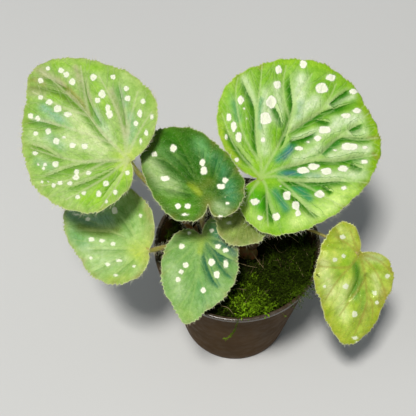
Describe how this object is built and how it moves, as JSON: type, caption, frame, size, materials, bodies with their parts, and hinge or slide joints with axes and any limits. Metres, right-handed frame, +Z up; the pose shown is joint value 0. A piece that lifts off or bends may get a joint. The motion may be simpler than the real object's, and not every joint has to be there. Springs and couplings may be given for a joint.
{
  "type": "potted begonia",
  "caption": "Small begonia with spotted, heart-shaped hairy leaves on arching stalks, growing from a creeping stem in mossy mix in a tapered plastic pot.",
  "frame": {"origin": "centre of the pot's flat underside", "axes": "+Z up, -Y towards the viewer of the picture, +X to the viewer's right"},
  "size_m": [0.1939, 0.1266, 0.1563],
  "materials": {
    "pot": "satin, slightly translucent",
    "mix": "crumbly and damp",
    "moss": "soft and fibrous",
    "rhizome": "scaly",
    "stalk": "hairy",
    "blade": "satin and finely hairy"
  },
  "bodies": {
    "root": {"pot": "pot", "potting_mix": "mix", "moss_front": "moss", "moss_right": "moss", "moss_back": "moss", "moss_left": "moss", "rhizome": "rhizome", "stalk_large_left": "stalk", "stalk_large_right": "stalk", "stalk_middle": "stalk", "stalk_lower_left": "stalk", "stalk_front": "stalk", "stalk_small_inner": "stalk", "stalk_right": "stalk", "blade_large_left": "blade", "blade_large_right": "blade", "blade_middle": "blade", "blade_lower_left": "blade", "blade_front": "blade", "blade_small_inner": "blade", "blade_right": "blade"}
  },
  "joints": []
}
